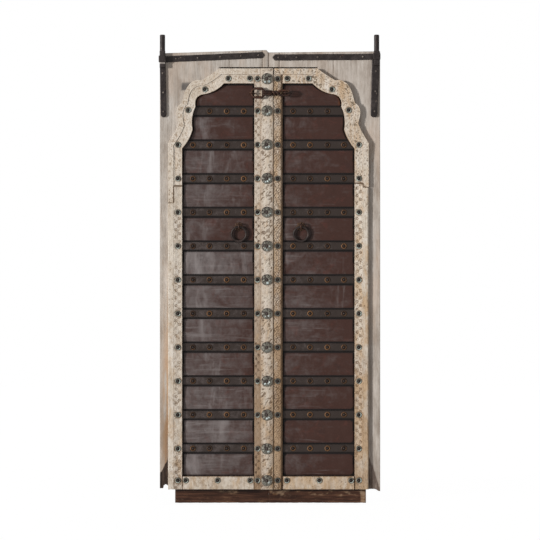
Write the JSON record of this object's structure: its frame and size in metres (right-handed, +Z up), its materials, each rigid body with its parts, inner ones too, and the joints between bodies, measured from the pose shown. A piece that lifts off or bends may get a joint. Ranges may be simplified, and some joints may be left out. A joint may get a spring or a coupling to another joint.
{
  "type": "antique double door leaves",
  "caption": "Pair of old plank door leaves with carved arch trim, iron-clad panels, pivot pins, ring pulls and a latch chain; the right leaf swings inward.",
  "frame": {"origin": "middle of the bounding box at the bottom, under the two leaves' bottom rails", "axes": "+Z up along the leaves, front of the door faces -Y, +X to the right seen from the front"},
  "size_m": [0.9944, 0.1312, 2.107],
  "materials": {
    "limed_planks": "old planks, worn limewash, open grain",
    "back_ledges": "bare brown wood, dusty",
    "bottom_rails": "dark bare wood, scuffed",
    "carved_trim": "carved wood under worn cream paint",
    "rosettes": "dull pressed metal, dark in the hollows",
    "iron_sheets": "dark red-brown oxide with a waxed sheen",
    "iron_straps": "dark forged iron",
    "strap_washers": "rusty brown",
    "trim_washers": "dull grey metal with paint traces",
    "nails": "dark iron",
    "pivot_irons": "black-brown forged iron",
    "ring_pulls": "dark iron with rust",
    "latch_chain": "rusty iron"
  },
  "bodies": {
    "left_leaf": {"left_wide_plank": "limed_planks", "left_inner_plank": "limed_planks", "left_edge_plank": "limed_planks", "left_ledge_1": "back_ledges", "left_ledge_2": "back_ledges", "left_ledge_3": "back_ledges", "left_ledge_4": "back_ledges", "left_bottom_rail": "bottom_rails", "left_arch_trim": "carved_trim", "left_outer_trim": "carved_trim", "left_inner_trim": "carved_trim", "left_bottom_trim": "carved_trim", "cover_strip": "carved_trim", "cover_rosettes": "rosettes", "left_iron_sheets": "iron_sheets", "left_iron_straps": "iron_straps", "left_strap_washers": "strap_washers", "left_strap_nails": "nails", "left_trim_washers": "trim_washers", "left_trim_nails": "nails", "left_pivot_iron": "pivot_irons", "left_top_strap": "pivot_irons", "left_iron_nails": "nails", "left_ring_rose": "ring_pulls", "left_ring_eye": "ring_pulls", "left_latch_staple": "latch_chain"},
    "right_leaf": {"right_edge_plank": "limed_planks", "right_middle_plank": "limed_planks", "right_outer_plank": "limed_planks", "right_ledge_1": "back_ledges", "right_ledge_2": "back_ledges", "right_ledge_3": "back_ledges", "right_ledge_4": "back_ledges", "right_bottom_rail": "bottom_rails", "right_arch_trim": "carved_trim", "right_outer_trim": "carved_trim", "right_inner_trim": "carved_trim", "right_bottom_trim": "carved_trim", "right_iron_sheets": "iron_sheets", "right_iron_straps": "iron_straps", "right_strap_washers": "strap_washers", "right_strap_nails": "nails", "right_trim_washers": "trim_washers", "right_trim_nails": "nails", "right_pivot_iron": "pivot_irons", "right_top_strap": "pivot_irons", "right_iron_nails": "nails", "right_ring_rose": "ring_pulls", "right_ring_eye": "ring_pulls", "right_latch_staple": "latch_chain"},
    "left_ring_pull": {"left_ring": "ring_pulls"},
    "latch_oval_link": {"latch_link": "latch_chain"},
    "latch_long_link": {"latch_hasp": "latch_chain"},
    "right_ring_pull": {"right_ring": "ring_pulls"}
  },
  "joints": [
    {"name": "right_leaf_swing", "type": "hinge", "parent": "left_leaf", "child": "right_leaf", "pos_m": [0.4805, -0.0161, 1], "axis": [0, 0, -1], "range_deg": [0, 100]},
    {"name": "left_ring_swing", "type": "hinge", "parent": "left_leaf", "child": "left_ring_pull", "pos_m": [-0.138, -0.0284, 1.2444], "axis": [-1, 0, 0], "range_deg": [0, 175]},
    {"name": "right_ring_swing", "type": "hinge", "parent": "right_leaf", "child": "right_ring_pull", "pos_m": [0.141, -0.0284, 1.2444], "axis": [-1, 0, 0], "range_deg": [0, 175]},
    {"name": "latch_oval_link_swing", "type": "hinge", "parent": "left_leaf", "child": "latch_oval_link", "pos_m": [-0.081, -0.0451, 1.843], "axis": [0, 0, -1], "range_deg": [0, 85]},
    {"name": "latch_long_link_swing", "type": "hinge", "parent": "latch_oval_link", "child": "latch_long_link", "pos_m": [-0.021, -0.0451, 1.843], "axis": [0, 0, -1], "range_deg": [0, 60]}
  ]
}
